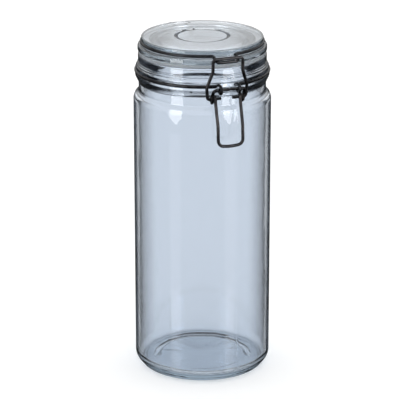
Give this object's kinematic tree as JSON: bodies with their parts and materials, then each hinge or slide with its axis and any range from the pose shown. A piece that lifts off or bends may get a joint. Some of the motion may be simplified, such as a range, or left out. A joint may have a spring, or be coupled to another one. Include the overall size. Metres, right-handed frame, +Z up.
{
  "type": "lidded glass canister",
  "caption": "Tall round glass canister with a hinged glass lid, a sealing ring and a wire clip whose hanging lever and bail hold the lid shut.",
  "frame": {"origin": "on the surface the jar stands on, at the axis of the jar body", "axes": "+Z up along the jar axis; the clip is at -Y and the lid hinge at +Y; X runs along the hinge and clip axes"},
  "size_m": [0.108, 0.1281, 0.272],
  "materials": {
    "jar_glass": "clear pressed glass, faint blue-grey tint",
    "lid_glass": "clear pressed glass, faint blue-grey tint",
    "seal_silicone": "soft translucent silicone",
    "neck_wire_steel": "dark polished wire",
    "lid_wire_steel": "dark polished wire",
    "bail_steel": "dark polished wire",
    "lever_steel": "dark polished wire"
  },
  "bodies": {
    "jar": {"glass_jar": "jar_glass", "neck_wire": "neck_wire_steel"},
    "lid": {"glass_lid": "lid_glass", "seal_ring": "seal_silicone", "lid_wire": "lid_wire_steel"},
    "lever": {"lever": "lever_steel"},
    "bail": {"bail": "bail_steel"}
  },
  "joints": [
    {"name": "lid_hinge", "type": "hinge", "parent": "jar", "child": "lid", "pos_m": [0, 0.0595, 0.26445], "axis": [-1, 0, 0], "range_deg": [0, 110]},
    {"name": "lever_pivot", "type": "hinge", "parent": "jar", "child": "lever", "pos_m": [0, -0.0602, 0.2445], "axis": [-1, 0, 0], "range_deg": [0, 96]},
    {"name": "bail_pivot", "type": "hinge", "parent": "lever", "child": "bail", "pos_m": [0, -0.05395, 0.236], "axis": [1, 0, 0], "range_deg": [0, 136]}
  ],
  "couplings": [
    {"joint": "lever_pivot", "follows": "lid_hinge", "ratio": 0.8636},
    {"joint": "bail_pivot", "follows": "lid_hinge", "ratio": 1.227}
  ]
}
